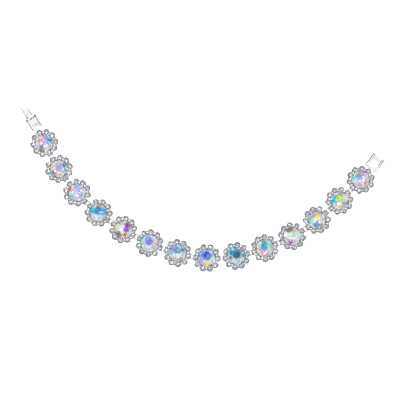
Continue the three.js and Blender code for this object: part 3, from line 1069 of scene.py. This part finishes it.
def make_clasp():
    """The clasp's channel with its bar and hinge ears, the pin, and the tongue that folds on it."""
    place = end_seat("clasp_swing")
    hinge = Vector(joints["clasp_fold"]["pos_m"]) - Vector(joints["clasp_swing"]["pos_m"])
    reach = math.hypot(hinge.x, hinge.y) / MM
    half = BASE_W / 2
    tip = reach + HINGE_EAR_R
    outline = [
        *arc(0, LUG_Z, BAR_EYE_R, 90, 270, 10),
        (BASE_START, 0),
        (tip, 0),
        *arc(reach, HINGE_Z, HINGE_EAR_R, 0, 140, 14),
        (reach - HINGE_EAR_RUN, BASE_WALL_H),
        (BASE_START, BASE_WALL_H),
    ]
    hole = circle(reach, HINGE_Z, PIN_R + PIN_PLAY, 20)
    boss = circle(reach, HINGE_Z, HINGE_EAR_R, 28)
    wall_y = half - BASE_WALL / 2
    boss_y = half - BASE_WALL / 2 + HINGE_EAR_T
    side = half - BASE_FLOOR_TUCK
    lip_top = BASE_FLOOR + LIP_H
    base = [
        upright(cut_plate([outline, hole], BASE_WALL, CHAMFER, 0), wall_y),
        upright(cut_plate([outline, hole], BASE_WALL, CHAMFER, 0), -wall_y),
        upright(cut_plate([boss, hole], BASE_WALL, CHAMFER, 0), boss_y),
        upright(cut_plate([boss, hole], BASE_WALL, CHAMFER, 0), -boss_y),
        box(BASE_START, tip - BASE_FLOOR_SHORT, -side, side, 0, BASE_FLOOR),
        box(LIP_X, LIP_X + LIP_T, -LIP_W / 2, LIP_W / 2, BASE_FLOOR - LIP_SINK, lip_top, LIP_EDGE, 0),
        cross_bar(0, LUG_Z, WIRE_R, BASE_W - BASE_WALL),
    ]
    channel = to_mesh(joined(base), "clasp_channel")
    finish_piece(
        "clasp_channel", channel, place, METAL, "clasp_base", ["clasp_base"]
    )
    pin = cross_bar(reach, HINGE_Z, PIN_R, BASE_W + 2 * HINGE_EAR_T + PIN_PROUD, dome=PIN_DOME)
    finish_piece(
        "clasp_pin", to_mesh(pin, "clasp_pin"), place, METAL, "clasp_base", ["clasp_hinge_pin"],
    )
    tongue = to_mesh(clasp_tongue(reach), "clasp_tongue")
    finish_piece(
        "clasp_tongue", tongue, place, METAL, "clasp_cover", ["clasp_cover"]
    )


def clasp_tongue(reach):
    """The folding cover: a trough with rolled sides, an upturned tip and a knuckle round the pin."""
    half = COVER_W / 2
    tip_half = COVER_TIP_W / 2
    end = reach + COVER_LENGTH
    bottom = HINGE_Z - COVER_DROP
    top = bottom + COVER_FLANGE_H
    start = reach + COVER_START
    corner_x = end - COVER_CORNER_R
    plate = [
        (start, -half),
        (corner_x, -tip_half),
        *arc(corner_x, -tip_half + COVER_CORNER_R, COVER_CORNER_R, -90, 0, 4),
        *arc(corner_x, tip_half - COVER_CORNER_R, COVER_CORNER_R, 0, 90, 4),
        (start, half),
    ]
    floor = Matrix.Translation((0, 0, bottom + COVER_PLATE_T / 2))
    parts = [moved(cut_plate([plate], COVER_PLATE_T), floor)]
    taper = math.atan2(half - tip_half, end - start)
    length = math.hypot(end - start, half - tip_half)
    half_t = COVER_FLANGE_T / 2
    for sign in (-1, 1):
        flange = box(0, length - COVER_FLANGE_SHORT, -half_t, half_t, bottom, top, CHAMFER, 0)
        edge = Matrix.Translation((start, sign * (half - half_t), 0))
        parts.append(moved(flange, edge @ Matrix.Rotation(-sign * taper, 4, "Z")))
    tip_y = tip_half - COVER_TIP_TUCK
    parts.append(box(end - COVER_FLANGE_T, end, -tip_y, tip_y, bottom, top, CHAMFER, 0))
    barrel = circle(reach, HINGE_Z, COVER_KNUCKLE_R, 24)
    bore = circle(reach, HINGE_Z, PIN_R + PIN_PLAY, 20)
    parts.append(upright(cut_plate([barrel, bore], COVER_W), 0))
    return joined(parts)


def make_catch():
    """The catch: two chamfered rails, the bar that it swings on, and the rung that the tongue grips."""
    place = end_seat("catch_swing")
    middle = RAIL_SPACING / 2
    rail = [
        *arc(0, LUG_Z, RAIL_EYE_R, 90, 225, 8),
        (RAIL_EYE_R, 0),
        (RAIL_LENGTH - RAIL_CORNER_X, 0),
        (RAIL_LENGTH, RAIL_CORNER_Z),
        (RAIL_LENGTH, RAIL_H - RAIL_CORNER_Z),
        (RAIL_LENGTH - RAIL_CORNER_X, RAIL_H),
        (RAIL_EYE_R, RAIL_H),
    ]
    end = RAIL_LENGTH - RUNG_INSET
    parts = [
        upright(cut_plate([rail], RAIL_W, RAIL_CHAMFER, 0), middle),
        upright(cut_plate([rail], RAIL_W, RAIL_CHAMFER, 0), -middle),
        box(end - RUNG_W, end, -middle, middle, RUNG_Z, RUNG_Z + RUNG_T, RUNG_EDGE),
        cross_bar(0, LUG_Z, WIRE_R, RAIL_SPACING),
    ]
    ladder = to_mesh(joined(parts), "catch_ladder")
    finish_piece(
        "catch_ladder", ladder, place, METAL, "catch_frame", ["catch_frame"]
    )


# ---------------------------------------------------------------- studio

# The camera looks straight down. The chain's share of the view's width, and how far the view's middle
# is from the chain's, in shares of that width.
OBJECT_SHARE = 0.917
RIGHT_OF_MIDDLE = 0.0068
ABOVE_MIDDLE = 0.0302
CAMERA_HEIGHT = 0.6
SENSOR = 36.0
# The table stands this far under the chain, in metres, so that a chain bent round a wrist clears it.
FLOOR_DROP = 0.11
FLOOR_HALF = 3.0
FLOOR_GREY = 0.92
FLOOR_ROUGHNESS = 0.7
FLOOR_GLOW = 0.56
# The table is white as seen, but a dark grey in reflections, so that metal and stones have dark parts.
FLOOR_GREY_REFLECTED = 0.16
# Brightness of the tent round the table, from level (0) to straight overhead (1), as it is reflected.
TENT = [(0.0, 0.08), (0.36, 0.12), (0.48, 0.45), (0.62, 0.7), (0.84, 0.7), (0.94, 0.9), (1.0, 0.95)]
# Upright strips on its walls, dark and light, which fade out overhead.
STRIPS = 7.0
STRIP_WANDER = 1.6
STRIP_WANDERS = 2.0
STRIP_TONES = [(0.3, 0.25), (0.62, 1.2)]
STRIP_FADE = [(0.62, 0.0), (0.86, 1.0)]
# Lamps: name, bearing and height in degrees, size in metres, power in watts.
LAMPS = [
    ("key", 130, 58, 0.18, 1.5),
    ("fill", 20, 55, 0.18, 0.9),
    ("rim", 265, 50, 0.15, 0.9),
    ("spark_a", 75, 62, 0.03, 0.12),
    ("spark_b", 200, 66, 0.03, 0.12),
    ("spark_c", 320, 58, 0.03, 0.12),
]
LAMP_DISTANCE = 0.6


def grey_ramp(t, value, stops):
    return ramp(t, value, [(place, grey(tone)) for place, tone in stops])


def set_camera(middle, low, high):
    width = (high.x - low.x) / OBJECT_SHARE
    camera = link(bpy.data.objects.new("camera", bpy.data.cameras.new("camera")))
    camera.data.sensor_width = SENSOR
    camera.data.lens = SENSOR * CAMERA_HEIGHT / width
    camera.location = (
        middle.x - RIGHT_OF_MIDDLE * width, middle.y - ABOVE_MIDDLE * width, high.z + CAMERA_HEIGHT
    )
    bpy.context.scene.camera = camera


def lay_table(middle, low):
    bm = bmesh.new()
    bmesh.ops.create_grid(bm, x_segments=1, y_segments=1, size=FLOOR_HALF)
    floor = link(bpy.data.objects.new("table", to_mesh(bm, "table")))
    floor.location = (middle.x, middle.y, low.z - FLOOR_DROP)
    material, t, shader = new_material("pale_table")
    shader.inputs["Base Color"].default_value = grey(FLOOR_GREY)
    shader.inputs["Roughness"].default_value = FLOOR_ROUGHNESS
    shader.inputs["Emission Color"].default_value = (1, 1, 1, 1)
    shader.inputs["Emission Strength"].default_value = FLOOR_GLOW
    dim = t.add("ShaderNodeBsdfDiffuse", {"Color": grey(FLOOR_GREY_REFLECTED)})
    seen = t.add("ShaderNodeLightPath").outputs["Is Camera Ray"]
    both = t.add("ShaderNodeMixShader", {0: seen, 1: dim.outputs[0], 2: shader.outputs[0]})
    out = next(n for n in t.tree.nodes if n.type == "OUTPUT_MATERIAL")
    t.tree.links.new(both.outputs[0], out.inputs["Surface"])
    floor.data.materials.append(material)


def hang_tent():
    """The light tent: white as seen, and graded and striped in reflections."""
    world = bpy.data.worlds.new("studio")
    bpy.context.scene.world = world
    world.use_nodes = True
    world.node_tree.nodes.clear()
    t = Tree(world.node_tree)
    sky = t.add("ShaderNodeSeparateXYZ", {0: t.add("ShaderNodeTexCoord").outputs["Generated"]}).outputs
    bearing = t.math("ARCTAN2", sky[1], sky[0])
    sway = t.math("SINE", t.math("MULTIPLY", bearing, STRIP_WANDERS))
    wander = t.math("MULTIPLY", sway, STRIP_WANDER)
    banks = t.math("SINE", t.math("ADD", t.math("MULTIPLY", bearing, STRIPS), wander))
    strips = grey_ramp(t, t.math("ADD", t.math("MULTIPLY", banks, 0.5), 0.5), STRIP_TONES)
    tent = grey_ramp(t, sky[2], TENT)
    striped = t.add(
        "ShaderNodeMix", {0: 1.0, 6: tent, 7: strips}, data_type="RGBA", blend_type="MULTIPLY"
    ).outputs[2]
    overhead = grey_ramp(t, sky[2], STRIP_FADE)
    tent = t.add("ShaderNodeMix", {0: overhead, 6: striped, 7: tent}, data_type="RGBA").outputs[2]
    seen = t.add("ShaderNodeLightPath").outputs["Is Camera Ray"]
    colour = t.add("ShaderNodeMix", {0: seen, 6: tent, 7: grey(1.0)}, data_type="RGBA").outputs[2]
    back = t.add("ShaderNodeBackground", {"Color": colour, "Strength": 1.0})
    t.add("ShaderNodeOutputWorld", {"Surface": back.outputs[0]})


def place_lamps(middle):
    for name, bearing, height, size, power in LAMPS:
        lamp = bpy.data.lights.new(name, "AREA")
        lamp.shape = "DISK"
        lamp.size = size
        lamp.energy = power
        a, e = math.radians(bearing), math.radians(height)
        away = Vector((math.cos(a) * math.cos(e), math.sin(a) * math.cos(e), math.sin(e)))
        held = link(bpy.data.objects.new(name, lamp))
        held.location = middle + away * LAMP_DISTANCE
        held.rotation_euler = away.to_track_quat("Z", "Y").to_euler()


def studio():
    low, high = Vector(cad_box[0]), Vector(cad_box[1])
    middle = (low + high) / 2
    set_camera(middle, low, high)
    lay_table(middle, low)
    hang_tent()
    place_lamps(middle)
    bpy.context.scene.view_settings.view_transform = "Standard"


for body in flowers:
    make_flower(body)
for body in rings:
    make_ring(body)
make_clasp()
make_catch()
studio()
